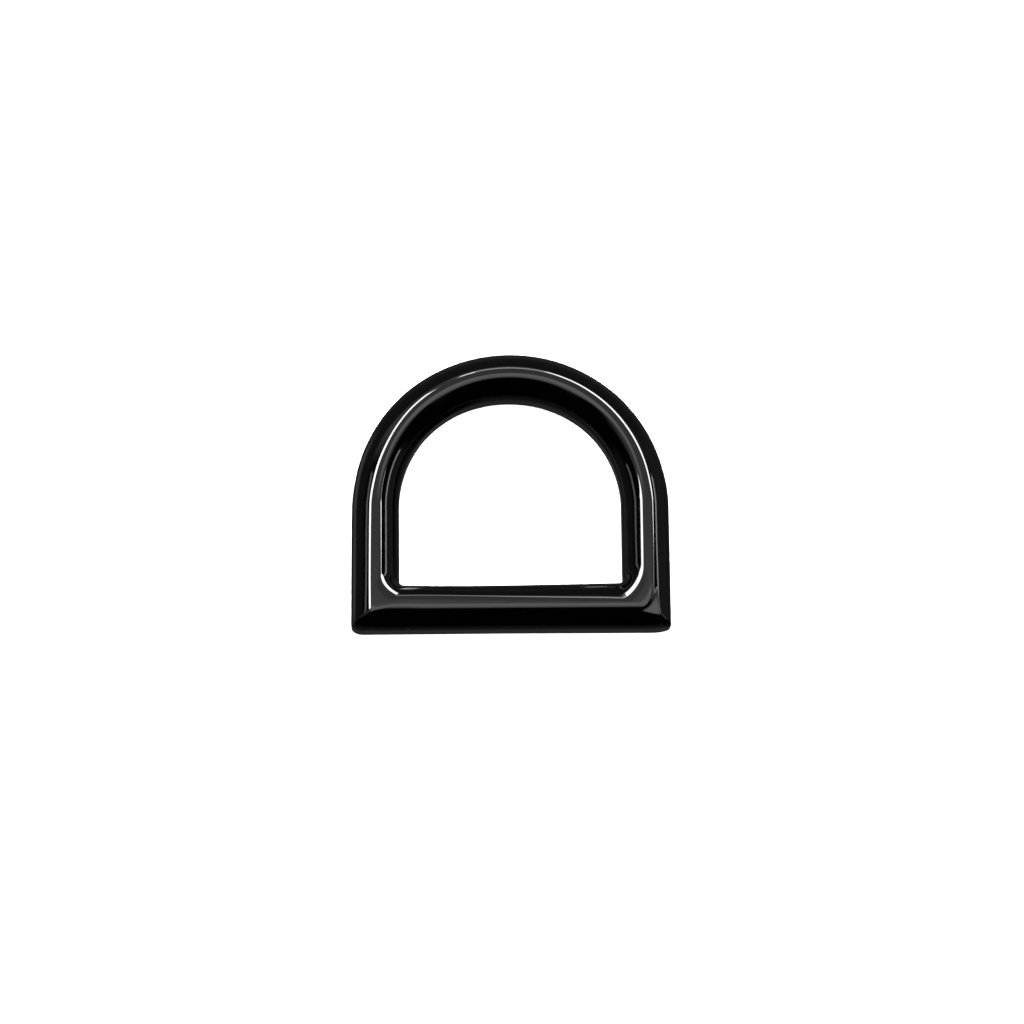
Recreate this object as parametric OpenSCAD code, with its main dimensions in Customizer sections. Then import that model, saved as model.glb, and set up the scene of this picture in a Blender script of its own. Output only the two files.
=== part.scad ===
// D-shaped ring for a strap: a straight bar, two short legs and a half-round arch in one
// casting. The back is flat. The front has a narrow flat land between two bevels, which run
// round the outside and round the opening. Millimetres, +Z up, the ring lies on its back.

/* [Opening] */
// Clear width between the two legs, which is the width of the strap that the bar takes
strap_w = 20; // [12:0.5:50]
// Straight length of the opening along each leg, from the bar to the start of the arch
leg_len = 7.35; // [3:0.05:40]

/* [Bars] */
// Width of the legs and of the arch, seen from the front
leg_w = 4.1; // [3.8:0.05:8]
// Width of the straight bar, seen from the front
bar_w = 4; // [3.8:0.05:8]
// Thickness from the flat back to the front land
thick = 3.5; // [3:0.1:6]

/* [Edges] */
// Height of the upright walls, from the back to the foot of the bevels
wall_h = 2.15; // [1.2:0.05:2.7]
// Width of each bevel, seen from the front
bevel_w = 1.55; // [0.8:0.05:1.7]
// Radius where an upright wall turns into its bevel
shoulder_r = 1.2; // [0.2:0.1:1.5]
// Radius where a bevel turns into the front land
crest_r = 0.6; // [0.2:0.1:0.9]
// Radius of the edges of the flat back
back_r = 0.35; // [0.1:0.05:0.5]

/* [Corners] */
// Radius of the two outer corners, seen from the front
outer_corner_r = 0.5; // [0.5:0.05:1]
// Radius of the two corners of the opening, seen from the front
inner_corner_r = 0.45; // [0.2:0.05:2]

/* [Hidden] */
$fn = 128;

// How far a cutting block runs past what it cuts
past = 1;
// How much larger than tangent each rounding's arc is drawn
arc_over = 0.002;

// Half the clear width and half the overall width
hole_x = strap_w / 2;
outer_x = hole_x + leg_w;
// The bar's inner and outer edge, measured from the arch's centre
hole_y = -leg_len;
outer_y = -leg_len - bar_w;
// Shift that puts the middle of the overall length over the origin
centre_y = -(outer_x + outer_y) / 2;
// Centre of the rounding of the right inner corner
corner_x = hole_x - inner_corner_r;
corner_y = hole_y + inner_corner_r;

// Width of the land on the narrower bar, length of a bevel and its angle to the land
narrow_w = min(leg_w, bar_w);
land_w = narrow_w - 2 * bevel_w;
bevel_len = norm([bevel_w, thick - wall_h]);
bevel_angle = atan2(thick - wall_h, bevel_w);
// What a radius of 1 takes from each edge at a shoulder, at a crest and at the back
shoulder_cut = tan((90 - bevel_angle) / 2);
crest_cut = tan(bevel_angle / 2);
back_cut = 1;
// Radii as drawn: each leaves a little of the wall, bevel or land that it is cut from
share = 0.48;
shoulder = min(shoulder_r, share * min(wall_h, bevel_len) / shoulder_cut);
crest = min(crest_r, share * min(land_w, bevel_len) / crest_cut);
back = min(back_r, share * wall_h / back_cut);

// Unit vector, and a point in whole micrometres
function unit(v) = v / norm(v);
function snapped(v) = [for (x = v) round(x * 1000) / 1000];

// What a rounding of radius r takes off the corner b between its edges to a and c. Its arc
// is a hair too large to be tangent, so it ends on both edges in clean points.
module corner_cut(a, b, c, r) {
    half_angle = acos(unit(a - b) * unit(c - b)) / 2;
    inwards = unit(unit(a - b) + unit(c - b));
    cut = r / tan(half_angle);
    difference() {
        polygon([b + cut * unit(a - b), b - r * inwards, b + cut * unit(c - b)]);
        translate(snapped(b + r / sin(half_angle) * inwards)) circle(r + arc_over);
    }
}

// A convex outline whose corner i has the radius radii[i]
module rounded_outline(points, radii) {
    n = len(points);
    difference() {
        polygon(points);
        for (i = [0:n - 1]) if (radii[i] > 0)
            corner_cut(points[(i + n - 1) % n], points[i], points[(i + 1) % n], radii[i]);
    }
}

// Whole section of a bar of width w, from its edge on the opening outwards
module bar_section(w) {
    rounded_outline(
        [[0, 0], [w, 0], [w, wall_h], [w - bevel_w, thick], [bevel_w, thick], [0, wall_h]],
        [back, back, shoulder, crest, crest, shoulder]);
}

// One edge of that section with its bevel, cut off square at the distance w from the edge
module edge_section(w) {
    rounded_outline(
        [[0, 0], [w, 0], [w, thick], [bevel_w, thick], [0, wall_h]],
        [back, 0, 0, crest, shoulder]);
}

// Half-round arch
module arch() {
    rotate_extrude(angle = 180) translate([hole_x, 0]) bar_section(leg_w);
}

// Right leg, straight from the arch to the start of the inner corner's rounding
module leg() {
    rotate([90, 0, 0]) linear_extrude(-corner_y) translate([hole_x, 0]) bar_section(leg_w);
}

// Straight bar between the inner corners' roundings
module bar() {
    translate([-corner_x, hole_y, 0]) rotate([90, 0, 90]) linear_extrude(2 * corner_x)
        mirror([1, 0]) bar_section(bar_w);
}

// Right outer corner: the outer bevels of leg and bar meet in a mitre
module mitred_corner() {
    leg_part = outer_x - corner_x;
    bar_part = corner_y - outer_y;
    intersection() {
        translate([outer_x, corner_y, 0]) rotate([90, 0, 0]) linear_extrude(bar_part + past)
            mirror([1, 0]) edge_section(leg_part);
        translate([corner_x, outer_y, 0]) rotate([90, 0, 90]) linear_extrude(leg_part + past)
            edge_section(bar_part);
    }
}

// Rounding of the right outer corner, which stands on the corner's own upright axis
module outer_rounding() {
    translate([outer_x - outer_corner_r, outer_y + outer_corner_r, 0])
        rotate_extrude(angle = 90, start = 270) intersection() {
            translate([outer_corner_r, 0]) mirror([1, 0]) edge_section(leg_w);
            square([outer_corner_r, thick]);
        }
}

// Right corner of the ring: the mitred block, rounded outside and round the opening
module corner() {
    difference() {
        mitred_corner();
        translate([outer_x - outer_corner_r, outer_y - past, -past])
            cube([outer_corner_r + past, outer_corner_r + past, thick + 2 * past]);
        translate([corner_x, corner_y, -past])
            cylinder(r = inner_corner_r + narrow_w / 2, h = thick + 2 * past);
    }
    outer_rounding();
    translate([corner_x, corner_y, 0]) rotate_extrude(angle = 90, start = 270)
        translate([inner_corner_r, 0]) edge_section(narrow_w / 2);
}

// The whole ring is one casting with a gloss black finish
module d_ring() {
    color([0.03, 0.03, 0.035]) translate([0, centre_y, 0]) {
        arch();
        bar();
        for (side = [0, 1]) mirror([side, 0, 0]) {
            leg();
            corner();
        }
    }
}

d_ring();
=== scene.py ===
"""A gloss black D ring for a strap, lying on a pale floor and seen from above its straight bar.

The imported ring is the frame. One finer mesh of the same ring replaces it, with nearly the same
outline and section, softer edges and the slight unevenness of a polished casting."""
import math
from collections import namedtuple

import bpy
import numpy as np
from mathutils import Matrix, Vector


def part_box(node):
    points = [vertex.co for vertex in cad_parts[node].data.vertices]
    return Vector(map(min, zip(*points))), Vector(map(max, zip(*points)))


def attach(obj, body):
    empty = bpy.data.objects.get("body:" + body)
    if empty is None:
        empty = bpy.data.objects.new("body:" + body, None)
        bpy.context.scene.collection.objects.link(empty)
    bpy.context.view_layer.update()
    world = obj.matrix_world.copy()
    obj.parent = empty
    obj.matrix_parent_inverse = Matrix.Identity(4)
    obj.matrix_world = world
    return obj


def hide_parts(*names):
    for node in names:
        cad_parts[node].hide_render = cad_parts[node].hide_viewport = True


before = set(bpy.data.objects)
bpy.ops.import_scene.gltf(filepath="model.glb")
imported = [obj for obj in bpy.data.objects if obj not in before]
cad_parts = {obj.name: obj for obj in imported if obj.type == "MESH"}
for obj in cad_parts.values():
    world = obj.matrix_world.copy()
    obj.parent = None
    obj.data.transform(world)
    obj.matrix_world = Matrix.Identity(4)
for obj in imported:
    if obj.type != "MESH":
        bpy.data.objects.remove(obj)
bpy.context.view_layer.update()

MM = 0.001

# Widths of the ring's parts, which its box doesn't give
LEG_W = 4.1 * MM
BAR_W = 4.0 * MM

# The rest of the ring's plan, from its box. The bar's lines are measured from the arch's centre
low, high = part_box("d_ring")
OUTER_X = high.x
THICK = high.z
ARCH_Y = high.y - OUTER_X
HOLE_X = OUTER_X - LEG_W
OUTER_BAR_Y = low.y - ARCH_Y
HOLE_BAR_Y = OUTER_BAR_Y + BAR_W

# Camera: its direction from the ring, its distance and where the arch's centre shows
CAMERA_ELEVATION = 74.0
CAMERA_AZIMUTH = -3.4
CAMERA_ROLL = 2.9
CAMERA_DISTANCE = 380 * MM
CAMERA_CLIP = 10 * MM
PIXELS_PER_M = 11.18 / MM
IMAGE_PX = 1024
SENSOR_MM = 36.0
ARCH_CENTRE_PX = (509.9, 511.9)


def add_camera():
    """The camera at the photograph's angle, turned until the ring stands upright in the image."""
    azimuth, elevation, roll = map(math.radians, (CAMERA_AZIMUTH, CAMERA_ELEVATION, CAMERA_ROLL))
    back = Vector((math.sin(azimuth) * math.cos(elevation),
                   -math.cos(azimuth) * math.cos(elevation),
                   math.sin(elevation)))
    level_right = Vector((0, 0, 1)).cross(back).normalized()
    level_up = back.cross(level_right)
    right = level_right * math.cos(roll) + level_up * math.sin(roll)
    up = back.cross(right)
    aside = (IMAGE_PX / 2 - ARCH_CENTRE_PX[0]) / PIXELS_PER_M
    above = (ARCH_CENTRE_PX[1] - IMAGE_PX / 2) / PIXELS_PER_M
    data = bpy.data.cameras.new("camera")
    data.sensor_width = SENSOR_MM
    data.lens = SENSOR_MM * CAMERA_DISTANCE * PIXELS_PER_M / IMAGE_PX
    data.clip_start = CAMERA_CLIP
    camera = bpy.data.objects.new("camera", data)
    bpy.context.scene.collection.objects.link(camera)
    place = Vector((0, ARCH_Y, 0)) + back * CAMERA_DISTANCE + right * aside + up * above
    axes = Matrix((right, up, back)).transposed()
    camera.matrix_world = Matrix.Translation(place) @ axes.to_4x4()
    bpy.context.scene.camera = camera


# Section: how far in from either edge the flat front starts, and the radii of crest and back edge
LAND_INSET = 1.97 * MM
CREST_R = 0.9 * MM
BACK_R = 0.35 * MM

# Steps down each bend of the front, down the wall and round the back edge
BEND_STEPS = 16
WALL_STEPS = 12
BACK_STEPS = 12

# A bevel's tilt in degrees at the crest and at the shoulder below it, and the shoulder's radius
Bevel = namedtuple("Bevel", "crest_tilt shoulder_tilt shoulder_r")
OUTER_BEVEL = Bevel(crest_tilt=32, shoulder_tilt=48, shoulder_r=0.95 * MM)
INNER_BEVEL = Bevel(crest_tilt=33, shoulder_tilt=49, shoulder_r=1.3 * MM)
BAR_INNER_BEVEL = Bevel(crest_tilt=34.5, shoulder_tilt=38, shoulder_r=1.35 * MM)


def bend(inset, height, radius, start, end):
    """Points down a bend of the section whose tilt goes from start to end degrees."""
    first = math.radians(start)
    rows = []
    for tilt in np.radians(np.linspace(start, end, BEND_STEPS + 1)[1:]):
        rows.append((inset - radius * (math.sin(tilt) - math.sin(first)),
                     height - radius * (math.cos(first) - math.cos(tilt))))
    return rows


def section(bevel):
    """(inset, height) from the flat front over crest, bevel, shoulder and wall to the back."""
    crest_sin = math.sin(math.radians(bevel.crest_tilt))
    shoulder_sin = math.sin(math.radians(bevel.shoulder_tilt))
    bevel_w = LAND_INSET - CREST_R * crest_sin - bevel.shoulder_r * (1 - shoulder_sin)
    bevel_r = bevel_w / (shoulder_sin - crest_sin)
    rows = [(LAND_INSET, THICK)]
    rows += bend(*rows[-1], CREST_R, 0, bevel.crest_tilt)
    rows += bend(*rows[-1], bevel_r, bevel.crest_tilt, bevel.shoulder_tilt)
    rows += bend(*rows[-1], bevel.shoulder_r, bevel.shoulder_tilt, 90)
    wall_top = rows[-1][1]
    rows += [(0.0, height) for height in np.linspace(wall_top, BACK_R, WALL_STEPS + 1)[1:]]
    for turn in np.radians(np.linspace(0, 90, BACK_STEPS + 1)[1:]):
        rows.append((BACK_R * (1 - math.cos(turn)), BACK_R * (1 - math.sin(turn))))
    return rows


# Steps along each part of a loop round the ring
ARCH_STEPS = 240
LEG_STEPS = 26
CORNER_STEPS = 24
BAR_STEPS = 72

# The hoop is the arch with both legs. A place on it is the arch's angle in degrees, which goes on
# down the legs, below 0 on the right and above 180 on the left, by one for each LEG_PLACE.
# A place on the bar runs from 0 at the left corner to 1 at the right corner
LEG_PLACE = 0.5 * MM

# A drift is worked out at many steps along its line and blurred over a few of them
DRIFT_STEPS = 500
BLUR_STEPS = 6
BLUR_REACH = 3 * BLUR_STEPS


def drift(shifts):
    """Smooth function of the place, from the shifts in millimetres at some places."""
    places = np.linspace(min(shifts), max(shifts), DRIFT_STEPS + 1)
    straight = np.interp(places, list(shifts), list(shifts.values())) * MM
    kernel = np.exp(-(np.arange(-BLUR_REACH, BLUR_REACH + 1) / BLUR_STEPS) ** 2 / 2)
    smooth = np.convolve(np.pad(straight, BLUR_REACH, "edge"), kernel / kernel.sum(), "valid")
    return lambda place: np.interp(place, places, smooth)


NO_DRIFT = drift({0: 0, 1: 0})

# A line's drifts along the hoop and along the bar. Outwards and down are above 0
Line = namedtuple("Line", "hoop bar")
# A corner's arc at an inset from the edge, all in millimetres: how far it reaches along the bar
# and along the leg, and how far it would run past the bar's line, which cuts it off
Corner = namedtuple("Corner", "inset along_bar along_leg past", defaults=(0,))
# One side of the ring: how far outwards its edge and its crest drift, how far down the foot of
# its bevel drifts, and its corners from the edge inwards
Side = namedtuple("Side", "edge crest foot left right")

# The inset where a loop takes all of the crest's drift, and the height where it takes the foot's
CREST_INSET = 1.6 * MM
FOOT_HEIGHT = 1.4 * MM

# Drifts and corners are read from the outline and the reflections in the photograph. The arcs
# that widen quickly at the outer right corner make the small facet there
OUTER = Side(
    edge=Line(
        drift({-18: 0.03, 0: 0.03, 15: -0.04, 45: 0.04, 75: 0.075, 90: 0.065, 110: 0.045,
               130: 0.03, 150: -0.03, 172: -0.08, 183: 0.02, 204: 0.08}),
        drift({0: 0, 0.5: -0.03, 1: 0})),
    crest=Line(
        drift({-18: 0, -14: 0.05, -9: 0.1, 0: 0.1, 8: 0, 45: 0.04, 90: -0.02, 105: 0,
               135: -0.06, 155: -0.24, 170: -0.21, 182: -0.04, 195: 0, 202: -0.05}),
        drift({0: 0.25, 0.03: 0.1, 0.06: -0.03, 0.12: -0.05, 0.2: 0, 1: 0})),
    foot=Line(NO_DRIFT, NO_DRIFT),
    left=(Corner(0, 1.1, 0.6), Corner(0.45, 0.5, 0.45), Corner(1.0, 0.35, 0.35),
          Corner(1.28, 0.3, 0.3), Corner(1.6, 0.25, 0.25)),
    right=(Corner(0, 1.8, 0.45), Corner(0.45, 0.4, 0.4), Corner(1.0, 0.2, 0.2),
           Corner(1.28, 1.6, 2.8), Corner(1.6, 1.15, 2.1), Corner(1.97, 1.1, 2.0)))
INNER = Side(
    edge=Line(
        drift({-18: -0.1, 0: -0.1, 20: -0.06, 45: 0.02, 90: -0.06, 120: 0.05, 140: 0.06,
               160: -0.04, 180: -0.1, 198: -0.1}),
        drift({0: 0, 0.15: 0.06, 0.3: 0.05, 0.5: -0.02, 0.86: -0.16, 1: -0.21})),
    crest=Line(
        drift({-18: 0, -10: 0.05, 0: 0.06, 15: 0, 45: 0.05, 90: -0.02, 130: 0, 157: -0.12,
               170: -0.08, 180: -0.05, 198: -0.05}),
        drift({0: -0.38, 0.14: -0.38, 0.5: -0.24, 0.92: -0.1, 1: -0.05})),
    foot=Line(
        drift({15: 0, 130: 0, 157: 0.11, 170: 0.07, 198: 0.09}),
        drift({0: -0.53, 0.05: -0.58, 0.15: -0.59, 0.5: -0.27, 0.9: -0.05, 1: 0})),
    left=(Corner(0, 0.58, 0.5), Corner(1.35, 3.4, 2.35, 0.45),
          Corner(1.65, 3.3, 2.25, 0.43), Corner(1.97, 3.0, 2.0, 0.37)),
    right=(Corner(0, 0.3, 0.3), Corner(1.35, 4.4, 3.7, 0.82),
           Corner(1.65, 4.3, 3.6, 0.8), Corner(1.97, 3.9, 3.3, 0.72)))


def corner_arc(corners, inset, bar_y):
    """How far in from the leg's line, and at which y, a corner's arc runs to the bar at bar_y."""
    insets, *lengths = zip(*corners)
    along_bar, along_leg, past = (np.interp(inset, np.array(insets) * MM, values) * MM
                                  for values in lengths)
    turn = np.linspace(0, math.asin(1 - past / along_leg), CORNER_STEPS + 1)
    return along_bar * (1 - np.cos(turn)), bar_y - past + along_leg * (1 - np.sin(turn))


def shifted(edge, crest, inset):
    """Shift of a loop that lies between the side's lines at the edge and at the crest."""
    share = min(inset / CREST_INSET, 1)
    return edge * (1 - share) + crest * share


def lowered(height, foot):
    """Height of a loop after the foot's drift, which fades out towards the front and the back."""
    return height - foot * np.interp(height, (0, FOOT_HEIGHT, THICK), (0, 1, 0))


def ring_loop(side, hoop_row, bar_row, half_w, bar_y):
    """One closed loop round the arch's centre, counter-clockwise from the arch's right end.
    The rows are its (inset, height) in the sections of hoop and bar. Without drifts, the hoop's
    part of it would lie half_w from the centre and the bar's part at bar_y."""
    (hoop_inset, hoop_height), (bar_inset, bar_height) = hoop_row, bar_row
    corner_inset = (hoop_inset + bar_inset) / 2

    def spread(first, last, steps):
        return np.linspace(first, last, steps, endpoint=False)

    def hoop(place):
        return half_w + shifted(side.edge.hoop(place), side.crest.hoop(place), hoop_inset)

    def hoop_z(place):
        return lowered(hoop_height, side.foot.hoop(place))

    def bar(place):
        return bar_y - shifted(side.edge.bar(place), side.crest.bar(place), bar_inset)

    def bar_z(place):
        return lowered(bar_height, side.foot.bar(place))

    turn = spread(0, 180, ARCH_STEPS)
    along = spread(0, 1, BAR_STEPS)
    left_in, left_y = corner_arc(side.left, corner_inset, bar(0))
    right_in, right_y = corner_arc(side.right, corner_inset, bar(1))
    left_end, right_end = 180 - left_y[0] / LEG_PLACE, right_y[0] / LEG_PLACE
    left_leg, right_leg = spread(180, left_end, LEG_STEPS), spread(right_end, 0, LEG_STEPS)
    left_x, right_x = hoop(left_end) - left_in, hoop(right_end) - right_in
    parts = [
        (hoop(turn) * np.cos(np.radians(turn)), hoop(turn) * np.sin(np.radians(turn)),
         hoop_z(turn)),
        (-hoop(left_leg), (180 - left_leg) * LEG_PLACE, hoop_z(left_leg)),
        (-left_x[:-1], left_y[:-1], spread(hoop_z(left_end), bar_z(0), CORNER_STEPS)),
        (spread(-left_x[-1], right_x[-1], BAR_STEPS), bar(along), bar_z(along)),
        (right_x[:0:-1], right_y[:0:-1], spread(bar_z(1), hoop_z(right_end), CORNER_STEPS)),
        (hoop(right_leg), right_leg * LEG_PLACE, hoop_z(right_leg))]
    x, y, z = (np.concatenate(axis) for axis in zip(*parts))
    return np.column_stack([x, y + ARCH_Y, z])


def ring_mesh():
    """The whole ring as one closed grid of quads: loops round the ring, from the outer edge of
    the back over the front to the inner edge of the back."""
    loops = [ring_loop(OUTER, row, row, OUTER_X - row[0], OUTER_BAR_Y + row[0])
             for row in reversed(section(OUTER_BEVEL))]
    loops += [ring_loop(INNER, row, bar_row, HOLE_X + row[0], HOLE_BAR_Y - bar_row[0])
              for row, bar_row in zip(section(INNER_BEVEL), section(BAR_INNER_BEVEL))]
    grid = np.array(loops)
    n_rows, n_round = grid.shape[:2]
    i, j = np.meshgrid(np.arange(n_rows), np.arange(n_round), indexing="ij")
    i2, j2 = (i + 1) % n_rows, (j + 1) % n_round
    faces = np.stack([i * n_round + j, i * n_round + j2, i2 * n_round + j2, i2 * n_round + j], -1)
    mesh = bpy.data.meshes.new("ring")
    mesh.from_pydata(grid.reshape(-1, 3).tolist(), [], faces.reshape(-1, 4).tolist())
    mesh.shade_smooth()
    mesh.validate()
    return mesh


# Sockets of a mix node that hold colours
MIX_A, MIX_B, MIX_RESULT = 6, 7, 2


class Surface:
    """A material's node tree, with short ways to add nodes."""

    def __init__(self, name):
        self.material = bpy.data.materials.new(name)
        self.material.use_nodes = True
        self.nodes = self.material.node_tree.nodes
        self.link = self.material.node_tree.links.new
        self.shader = self.nodes["Principled BSDF"]
        self.place = self.nodes.new("ShaderNodeTexCoord").outputs["Object"]

    def noise(self, scale, detail):
        node = self.nodes.new("ShaderNodeTexNoise")
        node.inputs["Scale"].default_value = scale
        node.inputs["Detail"].default_value = detail
        self.link(self.place, node.inputs["Vector"])
        return node.outputs["Fac"]

    def greys(self, factor, socket, dark, light):
        """Colour of the shader's socket, between two greys by the factor."""
        node = self.nodes.new("ShaderNodeMix")
        node.data_type = "RGBA"
        self.link(factor, node.inputs["Factor"])
        node.inputs[MIX_A].default_value = (dark, dark, dark, 1)
        node.inputs[MIX_B].default_value = (light, light, light, 1)
        self.link(node.outputs[MIX_RESULT], self.shader.inputs[socket])

    def between(self, factor, socket, least, most):
        """Value of the shader's socket, between two values by the factor."""
        node = self.nodes.new("ShaderNodeMapRange")
        self.link(factor, node.inputs["Value"])
        node.inputs["To Min"].default_value = least
        node.inputs["To Max"].default_value = most
        self.link(node.outputs["Result"], self.shader.inputs[socket])

    def bump(self, height, distance):
        node = self.nodes.new("ShaderNodeBump")
        node.inputs["Distance"].default_value = distance
        self.link(height, node.inputs["Height"])
        self.link(node.outputs["Normal"], self.shader.inputs["Normal"])


def black_lacquer():
    """Gloss black lacquer: hardly any colour of its own, sharp reflections, faint orange peel."""
    lacquer = Surface("black_lacquer")
    lacquer.greys(lacquer.noise(scale=300, detail=2), "Base Color", dark=0.0001, light=0.0002)
    lacquer.between(lacquer.noise(scale=900, detail=3), "Roughness", least=0.045, most=0.07)
    lacquer.shader.inputs["IOR"].default_value = 1.5
    lacquer.bump(lacquer.noise(scale=700, detail=1), distance=0.003 * MM)
    return lacquer.material


def add_ring():
    ring = bpy.data.objects.new("ring", ring_mesh())
    bpy.context.scene.collection.objects.link(ring)
    ring.data.materials.append(black_lacquer())
    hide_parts("d_ring")
    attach(ring, "root")


# Width of the floor and distance of the lamps from the ring, in metres
FLOOR_W = 20
LAMP_DISTANCE = 0.7


def add_floor():
    """A pale floor, lit so that the camera sees it white, which the gloss doesn't reflect."""
    bpy.ops.mesh.primitive_plane_add(size=FLOOR_W)
    floor = bpy.context.object
    floor.name = "floor"
    paint = Surface("pale_floor")
    paint.greys(paint.noise(scale=40, detail=3), "Base Color", dark=0.88, light=0.92)
    paint.between(paint.noise(scale=200, detail=2), "Roughness", least=0.85, most=0.95)
    floor.data.materials.append(paint.material)
    floor.visible_glossy = False


def softbox(name, azimuth, zenith, wide, tall, radiance, shape="RECTANGLE"):
    """A flat lamp that faces the ring. Angles are seen from the ring, in degrees:
    azimuth runs from +X towards +Y, zenith from straight up, wide and tall are what it spans."""
    a, z = math.radians(azimuth), math.radians(zenith)
    away = Vector((math.cos(a) * math.sin(z), math.sin(a) * math.sin(z), math.cos(z)))
    data = bpy.data.lights.new(name, "AREA")
    data.shape = shape
    data.size = 2 * LAMP_DISTANCE * math.tan(math.radians(wide) / 2)
    data.size_y = 2 * LAMP_DISTANCE * math.tan(math.radians(tall) / 2)
    area = data.size * data.size_y
    if shape == "ELLIPSE":
        area *= math.pi / 4
    data.energy = radiance * math.pi * area
    light = bpy.data.objects.new(name, data)
    bpy.context.scene.collection.objects.link(light)
    light.location = away * LAMP_DISTANCE
    light.rotation_mode = "QUATERNION"
    light.rotation_quaternion = away.to_track_quat("Z", "Y")
    return light


def add_lights():
    """Lamps that show in the gloss as white lines and a spot, and a fill that doesn't."""
    softbox("left_strip", azimuth=140, zenith=48, wide=42, tall=17, radiance=26)
    softbox("right_strip", azimuth=48, zenith=58, wide=54, tall=19, radiance=26, shape="ELLIPSE")
    softbox("right_strip_end", azimuth=11, zenith=58.8, wide=14, tall=2.6, radiance=12)
    softbox("back_strip", azimuth=86, zenith=57, wide=22, tall=14, radiance=4.8)
    softbox("back_spot", azimuth=101, zenith=55, wide=4, tall=12, radiance=15)
    softbox("right_low_strip", azimuth=8, zenith=75, wide=36, tall=2.2, radiance=5.2)
    softbox("left_low_strip", azimuth=166, zenith=68.5, wide=30, tall=3, radiance=1.7)
    fill = softbox("front_fill", azimuth=-90, zenith=40, wide=80, tall=50, radiance=5)
    fill.visible_glossy = False


def add_world():
    """The room that the gloss reflects: a grey ceiling, black in front, a dark grey horizon.
    The camera sees it white."""
    world = bpy.data.worlds.new("studio")
    bpy.context.scene.world = world
    world.use_nodes = True
    nodes, links = world.node_tree.nodes, world.node_tree.links
    direction = nodes.new("ShaderNodeSeparateXYZ")
    links.new(nodes.new("ShaderNodeTexCoord").outputs["Generated"], direction.inputs[0])

    def step(axis, start, end):
        node = nodes.new("ShaderNodeMapRange")
        node.interpolation_type = "SMOOTHSTEP"
        links.new(direction.outputs[axis], node.inputs["Value"])
        node.inputs["From Min"].default_value = start
        node.inputs["From Max"].default_value = end
        return node.outputs["Result"]

    def combine(operation, first, second):
        node = nodes.new("ShaderNodeMath")
        node.operation = operation
        for socket, value in zip(node.inputs, (first, second)):
            if isinstance(value, (int, float)):
                socket.default_value = value
            else:
                links.new(value, socket)
        return node.outputs[0]

    def zone(*edges, radiance):
        """Part of the room: each edge is an axis and from where to where on it the zone fades in."""
        total = radiance
        for axis, start, end in edges:
            if start < end:
                edge = step(axis, start, end)
            else:
                edge = combine("SUBTRACT", 1.0, step(axis, end, start))
            total = combine("MULTIPLY", edge, total)
        return total

    zones = (
        # Soft box in the ceiling
        zone(("Z", 0.3, 0.5), ("Y", -0.68, -0.36), ("Y", 0.29, 0.17), ("X", -0.56, -0.36),
             ("X", 0.66, 0.40), radiance=1.6),
        # Ceiling round it at the back, and lower down behind
        zone(("Z", 0.50, 0.62), ("Y", -0.45, -0.1), radiance=0.7),
        zone(("Y", 0.5, 0.7), ("Z", 0.18, 0.3), ("Z", 0.62, 0.50), radiance=0.7),
        # Horizon at the back and sides, brighter on the right, and in front
        zone(("Z", 0.35, 0.2), ("Y", -0.35, -0.1), radiance=0.08),
        zone(("Z", 0.35, 0.2), ("Z", -0.2, 0.0), ("X", 0.7, 0.85), ("Y", -0.35, -0.1),
             radiance=0.06),
        zone(("Z", 0.15, -0.1), ("Y", -0.1, -0.35), ("X", 0.5, 0.2), radiance=0.08),
        # Ground at the back and on the left
        zone(("Z", -0.1, -0.35), ("Y", 0.2, 0.7), ("Z", -0.6, -0.3), radiance=0.09),
        zone(("X", -0.68, -0.86), ("Z", -0.3, -0.12), ("Z", 0.03, -0.08), radiance=0.60))
    total = zones[0]
    for other in zones[1:]:
        total = combine("ADD", total, other)
    path = nodes.new("ShaderNodeLightPath")
    seen = combine("MAXIMUM", total, path.outputs["Is Camera Ray"])
    links.new(seen, nodes["Background"].inputs["Strength"])
    nodes["Background"].inputs["Color"].default_value = (1, 1, 1, 1)


add_camera()
add_ring()
add_floor()
add_lights()
add_world()
bpy.context.scene.view_settings.view_transform = "Standard"
